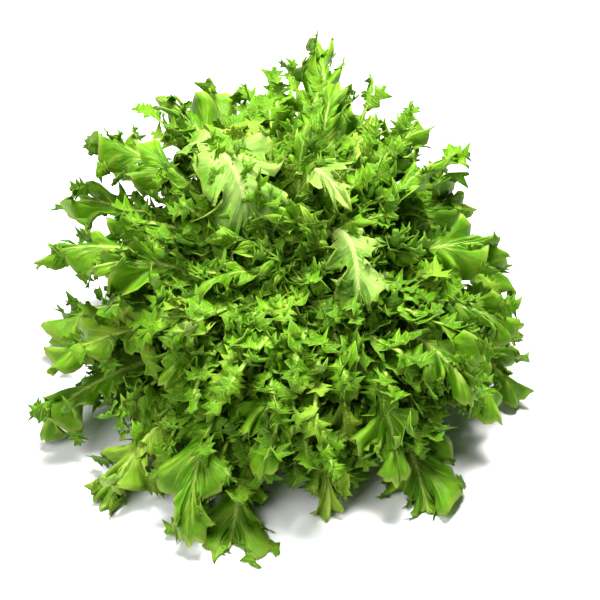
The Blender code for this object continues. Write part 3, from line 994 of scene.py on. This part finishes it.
@dataclass(frozen=True)
class Lobes:
    """The narrow, toothed, curling lobes of a leaf.

    Widths are half widths in metres, of the lobe where it grows out, of its body between the teeth, and
    of its point. Teeth gives the fewest and the most teeth of a side, tooth the shortest and the
    longest, and hook how far they lean ahead. The turns are the most that a lobe bends in the leaf's
    plane, rises out of it, curls at its end and rolls about itself, in degrees. Sunk is how far its
    root lies within the blade.
    """

    base: float = 0.0042
    body: float = 0.0035
    point: float = 0.0016
    teeth: tuple[int, int] = (2, 3)
    tooth: tuple[float, float] = (0.0028, 0.0062)
    hook: float = 0.65
    turn: float = 34.0
    rise: float = 50.0
    curl: float = 95.0
    roll: float = 55.0
    sunk: float = 0.0

    STEPS = 24
    ACROSS = (-1.0, 0.0, 1.0)
    TOOTH_STARTS = 0.40
    TOOTH_STANDS = 0.75
    LAST_NARROWS = 0.25
    POINT_SHARE = 0.7
    BODY_FALL = 0.45
    TOOTH_CHANCE = 0.85

    def grow(
        self,
        start: np.ndarray,
        forward: np.ndarray,
        aside: np.ndarray,
        length: float,
        draw: np.random.Generator,
    ) -> Sheet:
        """One lobe: a narrow blade that bends, curls and rolls, with teeth on every other row.

        Args:
            start: where it grows from, in the flat leaf.
            forward: the direction that it starts in.
            aside: the direction to its right.
            length: its length.
            draw: the generator of this leaf's details.

        Returns:
            Rows from the start to the lobe's point.
        """
        teeth = int(draw.integers(self.teeth[0], self.teeth[1] + 1))
        spread = teeth + self.POINT_SHARE
        shares, bodies, stands = [0.0], [self.base], [np.zeros(2)]
        for tooth in range(teeth):
            body = self.body * (1.0 - self.BODY_FALL * tooth / teeth)
            shares += [(tooth + self.TOOTH_STARTS) / spread, (tooth + self.TOOTH_STANDS) / spread]
            bodies += [body, body]
            grown = draw.uniform(*self.tooth, 2)
            stands += [np.zeros(2), grown * (draw.uniform(size=2) < self.TOOTH_CHANCE)]
        shares += [(teeth + self.LAST_NARROWS) / spread, 1.0]
        bodies += [0.5 * self.body, self.point]
        stands += [np.zeros(2), np.zeros(2)]

        fine = np.linspace(0.0, 1.0, self.STEPS)
        upright = np.cross(aside, forward)
        turn, rise, roll = draw.uniform(-1.0, 1.0, 3) * (self.turn, self.rise, self.roll)
        curl = draw.uniform(-0.6, 1.0) * self.curl
        rolled = draw.uniform(-0.5, 0.5) * self.roll
        bearing = np.radians(turn * fine)[:, None]
        pitch = np.radians(rise * smooth(fine / 0.4) + curl * fine**2)[:, None]
        ahead, level = turned(forward, aside, bearing)
        ahead = ahead * np.cos(pitch) + upright * np.sin(pitch)
        bank = np.radians(rolled * smooth(fine / 0.3) + roll * fine)[:, None]
        level, upper = turned(level, np.cross(level, ahead), bank)
        centre = unit_path(ahead) * length / (self.STEPS - 1)
        curves = (centre, level, upper, ahead)
        centre, level, upper, ahead = (read_along(shares, fine, values)[:, None, :] for values in curves)

        across = np.array(self.ACROSS)
        stand = np.stack([np.where(across < 0.0, pair[0], pair[1]) for pair in stands])
        width = np.array(bodies)[:, None] + stand
        lifts = draw.uniform(-0.5, 0.9, stand.shape) * stand * np.abs(across)
        sideways = (width * across)[..., None]
        raised = (0.25 * width * np.abs(across) + lifts)[..., None]
        onward = (self.hook * stand * np.abs(across))[..., None]
        points = start + centre + level * sideways + upper * raised + ahead * onward
        points = points - forward * self.sunk
        share = np.array(shares)[:, None] + 0.0 * width
        return Sheet(
            x=points[..., 0],
            y=points[..., 1],
            z=points[..., 2],
            across=across * smooth(share / 0.25),
            lobe=share + 100.0 * start[1],
            vein=(1.0 - np.abs(across)) * (1.0 - 0.7 * share),
            stand=0.0 * share,
        )


@dataclass(frozen=True)
class FringedBlade:
    """A leaf with a broad blade, whose margin carries a lobe at each tooth."""

    grain: Grain
    lobes: Lobes

    def sheets(self, leaf: Leaf) -> list[Sheet]:
        """The blade and the lobes on its margin, before they are bent.

        Args:
            leaf: where the leaf grows, and its form.

        Returns:
            The blade's sheet, then a sheet for each lobe.
        """
        draw = np.random.default_rng(leaf.seed + Leaf.FRINGE_SEED)
        blade = leaf.flat(self.grain)
        points = np.stack([blade.x, blade.y, blade.z], axis=-1)
        sheets = [blade]
        for row, column in np.argwhere(blade.stand > 0.0):
            side = 1 if column else -1
            outward = points[row, column] - points[row, column - side]
            outward = outward / np.linalg.norm(outward)
            aside = -side * (points[row + 1, column] - points[row - 1, column])
            aside = aside - outward * float(aside @ outward)
            aside = aside / max(float(np.linalg.norm(aside)), 1e-9)
            length = float(blade.stand[row, column]) * draw.uniform(0.7, 1.3)
            sheets.append(self.lobes.grow(points[row, column], outward, aside, length, draw))
        return sheets


@dataclass(frozen=True)
class Frond:
    """A curled leaf: pairs of lobes on a slim rib, and one at its end.

    Bare is the share of the rib that has no lobes. Headings are the lobes' angles from the rib.
    """

    lobes: Lobes
    pairs: int = 6
    bare: float = 0.30
    first_heading: float = 66.0
    last_heading: float = 30.0

    RIB_ACROSS = (-1.0, -0.4, 0.0, 0.4, 1.0)
    RIB_TAPER = 0.55
    HEADING_STRAY = 10.0

    def sheets(self, leaf: Leaf) -> list[Sheet]:
        """The rib and the lobes of a leaf, before they are bent.

        Args:
            leaf: where the leaf grows, and its size.

        Returns:
            The rib's sheet, then a sheet for each lobe.
        """
        draw = np.random.default_rng(leaf.seed + Leaf.FRINGE_SEED)
        sheets = [self._rib(leaf)]
        for number in range(2 * self.pairs):
            share = (number + draw.uniform(0.0, 0.9)) / (2 * self.pairs)
            side = -1 if number % 2 else 1
            fullness = 0.60 + 0.60 * math.sin(math.pi * share**0.8)
            length = leaf.half_width * fullness * draw.uniform(0.75, 1.3)
            place = leaf.length * (self.bare + (1.0 - self.bare) * share)
            heading = self.first_heading + (self.last_heading - self.first_heading) * share
            heading += draw.uniform(-self.HEADING_STRAY, self.HEADING_STRAY)
            sheets.append(self._lobe(place, side * heading, length, draw))
        end = 0.9 * leaf.half_width * draw.uniform(0.8, 1.2)
        sheets.append(self._lobe(leaf.length - 0.4 * end, 0.0, end, draw))
        return sheets

    def _lobe(self, place: float, heading: float, length: float, draw: np.random.Generator) -> Sheet:
        """One lobe on the rib.

        Args:
            place: where on the rib it grows.
            heading: the angle from the rib that it grows at, to the right.
            length: its length.
            draw: the generator of this leaf's details.

        Returns:
            The lobe's sheet.
        """
        turn = math.radians(heading)
        forward = np.array([math.sin(turn), math.cos(turn), 0.0])
        aside = np.array([math.cos(turn), -math.sin(turn), 0.0])
        return self.lobes.grow(np.array([0.0, place, 0.0]), forward, aside, length, draw)

    def _rib(self, leaf: Leaf) -> Sheet:
        """The slim rib with the narrow wing that its lobes grow from."""
        along = np.linspace(0.0, 1.0, 2 * self.pairs)[:, None]
        across = np.array(self.RIB_ACROSS)
        x = leaf.petiole_half_width * (1.0 - self.RIB_TAPER * along) * across
        flat = 0.0 * x
        return Sheet(
            x=x,
            y=leaf.length * along + flat,
            z=0.35 * np.abs(x),
            across=0.4 * across + flat,
            lobe=along + flat,
            vein=flat,
            stand=flat,
        )


class Foliage:
    """Makes objects of fine leaves and dresses them.

    The dome is the head's half width, half depth and height. Deep in the head the leaves get a painted
    shade,
    darker and letting less light through: it starts at a share of the dome and grows over the next share
    inwards.
    """

    WALL_GROUP = "thickness"
    DOME = (0.17, 0.18, 0.175)
    # painted shade: the share of the dome where the darkening deep in the head starts, and the share over
    # which it grows
    PAINTED_SHADE_FROM = 0.68
    PAINTED_SHADE_OVER = 0.4
    MIDRIB = 1.25
    MIDRIB_FALL = 0.9

    def __init__(self, blade: float = 0.00035) -> None:
        """Keeps the thickness of the blades and makes the finishes."""
        self.blade = blade
        self.upper = {depth: finish.material() for depth, finish in UPPER_FINISHES.items()}
        self.underside = UNDERSIDE.material()

    def _lay(self, foliage: bmesh.types.BMesh, leaf: Leaf, flat: Sheet) -> None:
        """Adds the middle of one sheet's wall: a grid shaped into the blade, with what its finish reads.

        Args:
            foliage: the mesh that it joins, which has its layers.
            leaf: the leaf that the sheet belongs to.
            flat: the sheet before it is bent.
        """
        placed = leaf.bent(flat).reshape(-1, 3)
        rows, columns = flat.x.shape
        along = np.clip(flat.y / leaf.length, 0.0, 1.0)
        rib_width = leaf.rib_half_width * (self.MIDRIB - self.MIDRIB_FALL * along)
        beside = np.hypot(flat.x, flat.z) / rib_width
        tone = np.full_like(flat.x, leaf.tone)
        # painted shade: the deeper a point lies in the head's dome, the more painted shade its leaf gets
        depth = self.PAINTED_SHADE_FROM - np.linalg.norm(placed / self.DOME, axis=1)
        inside = np.clip(depth / self.PAINTED_SHADE_OVER, 0.0, 1.0)
        marks = (flat.across, flat.lobe, flat.vein, beside, tone, inside)
        wall = foliage.verts.layers.deform.verify()
        held = foliage.verts.layers.float
        layers = [(held[name], mark.ravel()) for name, mark in zip(MARKS, marks)]
        shares = leaf.thickness(flat, self.blade).ravel()
        grid = bmesh.ops.create_grid(foliage, x_segments=columns - 1, y_segments=rows - 1, size=1.0)
        made = grid["verts"]
        for index, vertex in enumerate(made):
            vertex.co = placed[index]
            vertex[wall][0] = float(shares[index])
            for layer, values in layers:
                vertex[layer] = float(values[index])
        bmesh.ops.remove_doubles(foliage, verts=made[-columns:], dist=SEAM_DISTANCE)

    def _leaf_mesh(self, leaf: Leaf, sheets: Sequence[Sheet]) -> bpy.types.Mesh:
        """The middle of one leaf's walls.

        Args:
            leaf: the leaf.
            sheets: its sheets before they are bent.

        Returns:
            A mesh with the marks that the finish reads.
        """
        foliage = bmesh.new()
        foliage.verts.layers.deform.verify()
        for mark in MARKS:
            foliage.verts.layers.float.new(mark)
        for flat in sheets:
            self._lay(foliage, leaf, flat)
        return mesh_of(leaf.name, foliage)

    def grow(
        self, name: str, leaves: Sequence[Leaf], divide: Callable[[Leaf], list[Sheet]], depth: Depth
    ) -> bpy.types.Object:
        """Makes one object of one or more leaves.

        Args:
            name: the object's name.
            leaves: the leaves that it holds, whose ribs have one thickness.
            divide: gives the sheets of a leaf.
            depth: how deep in the head they grow.

        Returns:
            The object, with its wall applied.
        """
        joined = bmesh.new()
        for leaf in leaves:
            mesh = self._leaf_mesh(leaf, divide(leaf))
            joined.from_mesh(mesh)
            bpy.data.meshes.remove(mesh)
        mesh = mesh_of(name, joined)
        mesh.materials.append(self.upper[depth])
        mesh.materials.append(self.underside)
        thing = add_object(name, mesh)
        thing.vertex_groups.new(name=self.WALL_GROUP)
        wall = thing.modifiers.new("wall", "SOLIDIFY")
        wall.thickness = leaves[0].rib_thickness
        wall.offset = 0.0
        wall.vertex_group = self.WALL_GROUP
        wall.material_offset = 1
        bpy.context.view_layer.update()
        graph = bpy.context.evaluated_depsgraph_get()
        walled = bpy.data.meshes.new_from_object(thing.evaluated_get(graph))
        thing.modifiers.clear()
        thing.data = walled
        walled.shade_smooth()
        return thing


def settle(piece: bpy.types.Object, slot: str, *nodes: str) -> None:
    """Puts a piece on the root body, hides the solids that it stands for, and logs its faces.

    Args:
        piece: the finished piece.
        slot: the record's material slot for the piece; not used.
        nodes: the solids that it stands for.
    """
    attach(piece, BODY)
    if nodes:
        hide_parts(*nodes)
    log.info("%s: %d faces for %s", piece.name, len(piece.data.polygons), ", ".join(nodes) or "no solid")


class Thicket:
    """What has grown so far, to grow the next leaf where it crosses least of it."""

    def __init__(self, turn_step: float = 5.0, raise_step: float = 4.0, steps: int = 2) -> None:
        """Starts with nothing.

        Args:
            turn_step: the step of a sideways move.
            raise_step: the step of an upward move.
            steps: the most steps either way.
        """
        self.standing: list[BVHTree] = []
        reach = range(-steps, steps + 1)
        moves = [(turn_step * turn, raise_step * rise) for turn in reach for rise in reach]
        self.moves = sorted(moves, key=lambda move: (math.hypot(*move), move))

    def _faces(self, leaf: Leaf, grain: Grain) -> BVHTree:
        """The blade's faces beyond its petiole, sorted for tests of crossing."""
        sheet = leaf.flat(grain)
        placed = leaf.bent(sheet)[len(grain.petiole) :]
        rows, columns = placed.shape[:2]
        corners = np.arange(rows * columns).reshape(rows, columns)
        near, far = corners[:-1], corners[1:]
        quads = np.stack([near[:, :-1], near[:, 1:], far[:, 1:], far[:, :-1]], axis=-1)
        return BVHTree.FromPolygons(placed.reshape(-1, 3).tolist(), quads.reshape(-1, 4).tolist())

    def add(self, leaf: Leaf, grain: Grain) -> None:
        """Counts a leaf as standing."""
        self.standing.append(self._faces(leaf, grain))

    def clear(self, leaf: Leaf, grain: Grain, stray: int) -> Leaf:
        """Moves a leaf a little to where it crosses least, and counts it as standing.

        Args:
            leaf: the leaf on its plan.
            grain: how finely the test is made.
            stray: how many crossings of faces are let be.

        Returns:
            The moved leaf.
        """
        fewest, best, kept = math.inf, leaf, None
        for turn, rise in self.moves:
            moved = replace(leaf, azimuth=leaf.azimuth + turn, raised=leaf.raised + rise)
            faces = self._faces(moved, grain)
            crossings = sum(len(faces.overlap(other)) for other in self.standing)
            if crossings < fewest:
                fewest, best, kept = crossings, moved, faces
            if crossings <= stray:
                break
        self.standing.append(kept)
        return best


NARROW_BLADE = FringedBlade(
    grain=Grain(
        rows=20,
        columns=5,
        petiole=tuple(step / 9 for step in range(9)),
        crowding=0.9,
        gathering=1.2,
        frill=Frill(
            tooth=0.004,
            sunk=0.8,
            shoulder=0.6,
            taper=1.2,
            cleft=0.6,
            divided=0.36,
            fringe=0.008,
            ruffle=60.0,
            ruffles=2.2,
            tooth_curl=60.0,
            crinkle=0.0011,
        ),
    ),
    lobes=Lobes(
        base=0.0060,
        body=0.0046,
        point=0.0014,
        teeth=(1, 3),
        tooth=(0.0025, 0.0058),
        hook=0.6,
        rise=34.0,
        curl=85.0,
        roll=45.0,
        sunk=0.004,
    ),
)
BROAD_FRILL = replace(
    NARROW_BLADE.grain.frill,
    tooth=0.005,
    sunk=0.5,
    taper=0.9,
    cleft=0.7,
    divided=0.22,
    fringe=0.005,
    ruffle=30.0,
    ruffles=1.6,
    tooth_curl=40.0,
    crinkle=0.0012,
)
BROAD_LOBES = replace(
    NARROW_BLADE.lobes,
    body=0.0042,
    point=0.0012,
    teeth=(1, 2),
    tooth=(0.0020, 0.0045),
    rise=24.0,
    curl=50.0,
    roll=30.0,
)
BROAD_BLADE = FringedBlade(grain=replace(NARROW_BLADE.grain, frill=BROAD_FRILL), lobes=BROAD_LOBES)


@dataclass
class LargeLeaves:
    """The large leaves, each one a piece of its own in place of its solid.

    A few of them are broad, and the leaves from first_inner on are a lighter green.
    """

    rosette: Rosette
    foliage: Foliage
    thicket: Thicket
    tones: tuple[float, float] = (0.1, 0.9)
    seed: int = 21
    first_inner: int = 16
    broad: tuple[str, ...] = ("leaf_04", "leaf_14")

    def build(self) -> None:
        """Grows every large leaf."""
        draw = np.random.default_rng(self.seed)
        for index, leaf in enumerate(self.rosette.spiral() + self.rosette.back()):
            leaf = replace(self.rosette.on_node(leaf, leaf.name), tone=draw.uniform(*self.tones))
            self.thicket.add(leaf, leaf.solid_grain())
            inner = self.first_inner <= index < self.rosette.large_leaves
            depth = Depth.INNER if inner else Depth.OUTER
            form = BROAD_BLADE if leaf.name in self.broad else NARROW_BLADE
            piece = self.foliage.grow(f"ruffled_{leaf.name}", [leaf], form.sheets, depth)
            settle(piece, "leaf", leaf.name)


@dataclass
class CurledLeaves:
    """The many finely cut, curled leaves between the large ones and the heart.

    Tall gives the azimuth, elevation and length of those that stand up at the back, found by trials in
    the photo's view. The skirt lies low at the front, over skirt_turn degrees from skirt_from. Leaves
    are cut shorter until they stay out of the hollow and no more than proud out of the solids' box.
    """

    rosette: Rosette
    foliage: Foliage
    thicket: Thicket
    count: int = 330
    bunch: int = 55
    seed: int = 5
    azimuth: float = 140.0
    test_grain: Grain = Grain(rows=3, columns=2, petiole=(0.0,))
    stray: int = 2
    form: Frond = Frond(lobes=Lobes())
    tall: tuple[tuple[float, float, float], ...] = (
        (94.0, 29.0, 0.196),
        (65.5, 43.0, 0.168),
        (50.5, 45.6, 0.157),
        (32.0, 37.5, 0.152),
        (129.0, 30.0, 0.184),
        (109.0, 46.0, 0.158),
    )
    skirt: int = 46
    skirt_from: float = 190.0
    skirt_turn: float = 165.0
    front_reach: float = 0.34
    hollow: tuple[float, float, float] = (-0.030, -0.075, 0.150)
    hollow_radius: float = 0.036
    proud: float = 0.002
    cut: float = 0.93
    most_cuts: int = 8

    def forms(self) -> list[Leaf]:
        """The leaves on their plan, from the outside in."""
        draw = np.random.default_rng(self.seed)
        leaves = []
        for index in range(self.count):
            share = index / (self.count - 1)
            azimuth = self.azimuth + GOLDEN_ANGLE * index + draw.uniform(-10.0, 10.0)
            inward = 0.06 + 0.84 * share**1.15
            elevation, length = self.rosette.direction(azimuth, inward)
            elevation += 17.0 * (1.0 - share) + draw.uniform(-9.0, 9.0)
            in_front = max(-math.sin(math.radians(azimuth)), 0.0) * float(smooth(inward / 0.3))
            droop = draw.uniform(20.0, 60.0) + 20.0 * in_front
            leaves.append(
                Leaf(
                    name=f"curled_leaf_{index + 1:02d}",
                    seed=1000 * self.seed + index,
                    azimuth=azimuth,
                    root_radius=0.012 - 0.007 * share,
                    root_height=0.018 + 0.030 * share,
                    length=length * draw.uniform(0.66, 0.98) * (1.0 + self.front_reach * in_front),
                    rise=(elevation + 28.0, elevation + 16.0, elevation - droop),
                    sweep=draw.uniform(-35.0, 35.0),
                    roll=draw.uniform(-40.0, 40.0),
                    half_width=draw.uniform(0.016, 0.026),
                    lobes=4,
                    petiole=0.28,
                    petiole_half_width=0.0030,
                    sinus=0.30,
                    fan=38.0,
                    lift=44.0,
                    twist=36.0,
                    wave=24.0,
                    waves=2.6,
                    rib_thickness=0.0022,
                    rib_half_width=0.0024,
                    lean=LEAN * inward,
                    tone=draw.uniform(0.0, 1.0),
                )
            )
        for index, (azimuth, elevation, length) in enumerate(self.tall):
            rise = (elevation + 10.0, elevation + 4.0, elevation - 6.0)
            leaves.append(self._slim(f"tall_leaf_{index + 1}", azimuth, 0.040, length, rise, draw))
        for index in range(self.skirt):
            azimuth = self.skirt_from + self.skirt_turn * (index + draw.uniform()) / self.skirt
            elevation, length = self.rosette.direction(azimuth, 0.03)
            elevation += draw.uniform(0.0, 12.0)
            rise = (elevation + 24.0, elevation + 12.0, elevation - 34.0)
            length *= draw.uniform(0.80, 1.02)
            leaves.append(self._slim(f"skirt_leaf_{index + 1:02d}", azimuth, 0.018, length, rise, draw))
        return leaves

    def _slim(
        self,
        name: str,
        azimuth: float,
        root_height: float,
        length: float,
        rise: tuple[float, float, float],
        draw: np.random.Generator,
    ) -> Leaf:
        """A leaf that is placed by itself, outside the spiral.

        Args:
            name: its name.
            azimuth: the direction that it grows in.
            root_height: the height of its root.
            length: its length.
            rise: the elevation of its rib at the root, in the middle and at the tip.
            draw: the generator of the plan.

        Returns:
            The leaf on its plan.
        """
        return Leaf(
            name=name,
            seed=int(draw.integers(10000, 30000)),
            azimuth=azimuth,
            root_radius=0.010,
            root_height=root_height,
            length=length,
            rise=rise,
            sweep=draw.uniform(-10.0, 10.0),
            roll=draw.uniform(-30.0, 30.0),
            half_width=draw.uniform(0.017, 0.024),
            petiole_half_width=0.0030,
            rib_thickness=0.0022,
            rib_half_width=0.0024,
            tone=draw.uniform(0.1, 0.8),
        )

    def _inside(self, leaf: Leaf) -> Leaf:
        """The leaf, shortened until it stays out of the hollow and close to the solids' box.

        Args:
            leaf: the leaf at its full length.

        Returns:
            The leaf at the length that fits.
        """
        low, high = (np.array(corner) for corner in CAD_BOX)
        for _ in range(self.most_cuts):
            points = np.concatenate([leaf.bent(sheet).reshape(-1, 3) for sheet in self.form.sheets(leaf)])
            boxed = np.all(points > low - self.proud) and np.all(points < high + self.proud)
            if boxed and np.all(np.linalg.norm(points - self.hollow, axis=1) > self.hollow_radius):
                break
            leaf = replace(leaf, length=leaf.length * self.cut)
        return leaf

    def build(self) -> None:
        """Grows the leaves in bunches, one piece each."""
        forms = self.forms()
        leaves = [self.thicket.clear(leaf, self.test_grain, self.stray) for leaf in forms[: self.count]]
        leaves = [self._inside(leaf) for leaf in leaves + forms[self.count :]]
        for number, start in enumerate(range(0, len(leaves), self.bunch), 1):
            bunch = leaves[start : start + self.bunch]
            piece = self.foliage.grow(f"curled_bunch_{number}", bunch, self.form.sheets, Depth.HEART)
            settle(piece, "heart")


@dataclass
class FoldedLeaves:
    """The few broad, pale leaves that rise from the heart and fold over it, their undersides up.

    Their ribs were found by trials in the photo's view.
    """

    foliage: Foliage
    form: FringedBlade = FringedBlade(
        grain=Grain(
            rows=16,
            columns=6,
            petiole=tuple(step / 6 for step in range(6)),
            frill=Frill(tooth=0.009, sunk=0.4, shoulder=0.6, fringe=0.006, ruffle=30.0, tooth_curl=40.0),
        ),
        lobes=Lobes(base=0.0050, body=0.0030, teeth=(1, 2), tooth=(0.002, 0.004), sunk=0.0030),
    )
    leaves: tuple[Leaf, ...] = (
        Leaf(
            name="folded_leaf_left",
            seed=301,
            azimuth=160.0,
            root_radius=0.010,
            root_height=0.028,
            length=0.272,
            rise=(18.6, 45.3, 254.8),
            sweep=-51.5,
            roll=0.0,
            half_width=0.054,
            lift=12.0,
            petiole=0.52,
        ),
        Leaf(
            name="folded_leaf_right",
            seed=302,
            azimuth=141.0,
            root_radius=0.006,
            root_height=0.042,
            length=0.170,
            rise=(90.0, 104.0, 242.0),
            sweep=-56.0,
            roll=0.0,
            half_width=0.022,
            petiole=0.38,
        ),
        Leaf(
            name="folded_leaf_back",
            seed=303,
            azimuth=96.0,
            root_radius=0.012,
            root_height=0.040,
            length=0.170,
            rise=(64.0, 88.0, 180.0),
            sweep=20.0,
            roll=24.0,
            half_width=0.026,
            petiole=0.36,
        ),
    )
    curl: float = -6.0
    tone: float = 0.9

    def build(self) -> None:
        """Grows the leaves as one piece."""
        leaves = [replace(leaf, curl=self.curl, tone=self.tone) for leaf in self.leaves]
        piece = self.foliage.grow("folded_leaves", leaves, self.form.sheets, Depth.HEART)
        settle(piece, "heart")


@dataclass
class Heart:
    """The dense heart of small leaves, in place of its solid."""

    rosette: Rosette
    foliage: Foliage
    thicket: Thicket
    form: FringedBlade = FringedBlade(
        grain=Grain(
            rows=14,
            columns=3,
            petiole=(0.0, 0.3, 0.6),
            frill=Frill(tooth=0.008, sunk=1.1, shoulder=0.5, fringe=0.012, tooth_curl=80.0, crinkle=0.0005),
        ),
        lobes=Lobes(base=0.0036, body=0.0024, teeth=(1, 3), sunk=0.002),
    )

    def build(self) -> None:
        """Grows the heart's leaves as one piece."""
        leaves = [self.rosette.on_node(leaf, "heart") for leaf in self.rosette.heart()]
        for leaf in leaves:
            self.thicket.add(leaf, leaf.solid_grain())
        piece = self.foliage.grow("frilled_heart", leaves, self.form.sheets, Depth.HEART)
        settle(piece, "heart", "heart")


@dataclass
class Stem:
    """The butt that the leaves grow from, with its flat cut face."""

    radius: float = 0.019
    neck_radius: float = 0.0125
    cut_bevel: float = 0.0013
    sides: int = 64
    sharp_angle: float = 40.0

    def build(self) -> None:
        """Turns the butt and dresses it."""
        profile = (
            (self.radius - self.cut_bevel, 0.0),
            (self.radius, self.cut_bevel),
            (0.96 * self.radius, 0.20 * STEM_HEIGHT),
            (0.88 * self.radius, 0.47 * STEM_HEIGHT),
            (1.10 * self.neck_radius, 0.77 * STEM_HEIGHT),
            (self.neck_radius, STEM_HEIGHT),
        )
        butt = bmesh.new()
        rim = [butt.verts.new((radius, 0.0, height)) for radius, height in profile]
        rim = [butt.verts.new((0.0, 0.0, 0.0))] + rim + [butt.verts.new((0.0, 0.0, STEM_HEIGHT))]
        edges = [butt.edges.new(pair) for pair in zip(rim, rim[1:])]
        bmesh.ops.spin(
            butt,
            geom=rim + edges,
            cent=(0.0, 0.0, 0.0),
            axis=(0.0, 0.0, 1.0),
            angle=math.tau,
            steps=self.sides,
            use_merge=True,
        )
        bmesh.ops.remove_doubles(butt, verts=butt.verts, dist=SEAM_DISTANCE)
        bmesh.ops.recalc_face_normals(butt, faces=butt.faces)
        mesh = mesh_of("cut_butt", butt)
        mesh.shade_smooth()
        mesh.set_sharp_from_angle(angle=math.radians(self.sharp_angle))
        mesh.materials.append(StemFinish().material())
        settle(add_object("cut_butt", mesh), "stem", "stem")


@dataclass(frozen=True)
class Lamp:
    """One soft studio light, aimed at the head."""

    name: str
    place: tuple[float, float, float]
    size: float
    power: float


@dataclass
class Studio:
    """The pale floor, the soft lights and the camera."""

    aim: tuple[float, float, float] = (0.0, -0.03, 0.078)
    elevation: float = 35.0
    distance: float = 1.0
    lens: float = 90.0
    nearest: float = 0.01
    floor_half_size: float = 3.0
    ambient: float = 0.07
    lamps: tuple[Lamp, ...] = (
        Lamp("key", (0.10, 0.20, 1.25), 0.50, 52.0),
        Lamp("fill", (-0.6, -0.8, 0.9), 0.7, 12.0),
    )

    def build(self) -> None:
        """Sets everything up."""
        self._floor()
        self._light()
        self._camera()

    def _floor(self) -> None:
        """Lays the floor."""
        plane = bmesh.new()
        bmesh.ops.create_grid(plane, x_segments=1, y_segments=1, size=self.floor_half_size)
        mesh = mesh_of("floor", plane)
        mesh.materials.append(FloorFinish().material())
        floor = add_object("floor", mesh)

    def _light(self) -> None:
        """Lights the scene from all round, with two soft lamps."""
        world = bpy.data.worlds.new("studio")
        world.use_nodes = True
        sky = world.node_tree.nodes["Background"]
        sky.inputs["Color"].default_value = (1.0, 1.0, 1.0, 1.0)
        sky.inputs["Strength"].default_value = self.ambient
        bpy.context.scene.world = world
        bpy.context.scene.view_settings.view_transform = "Standard"
        for lamp in self.lamps:
            light = bpy.data.lights.new(lamp.name, "AREA")
            light.energy = lamp.power
            light.size = lamp.size
            place = Vector(lamp.place)
            self._point(add_object(lamp.name, light), place, Vector(self.aim) - place)

    def _camera(self) -> None:
        """Looks at the head from the front and above."""
        rise = math.radians(self.elevation)
        towards = Vector((0.0, -math.cos(rise), math.sin(rise)))
        camera = bpy.data.cameras.new("camera")
        camera.lens = self.lens
        camera.clip_start = self.nearest
        thing = add_object("camera", camera)
        self._point(thing, Vector(self.aim) + towards * self.distance, -towards)
        bpy.context.scene.camera = thing

    def _point(self, thing: bpy.types.Object, place: Vector, ahead: Vector) -> None:
        """Sets a lamp or the camera at a place and points it ahead."""
        thing.location = place
        thing.rotation_euler = ahead.to_track_quat("-Z", "Y").to_euler()


def main() -> None:
    """Builds the head and the studio, and reports each piece."""
    logging.basicConfig(level=logging.INFO, format="%(message)s")
    rosette = Rosette()
    foliage = Foliage()
    thicket = Thicket()
    Studio().build()
    Stem().build()
    LargeLeaves(rosette, foliage, thicket).build()
    Heart(rosette, foliage, thicket).build()
    CurledLeaves(rosette, foliage, thicket).build()
    FoldedLeaves(foliage).build()


if __name__ == "__main__":
    main()
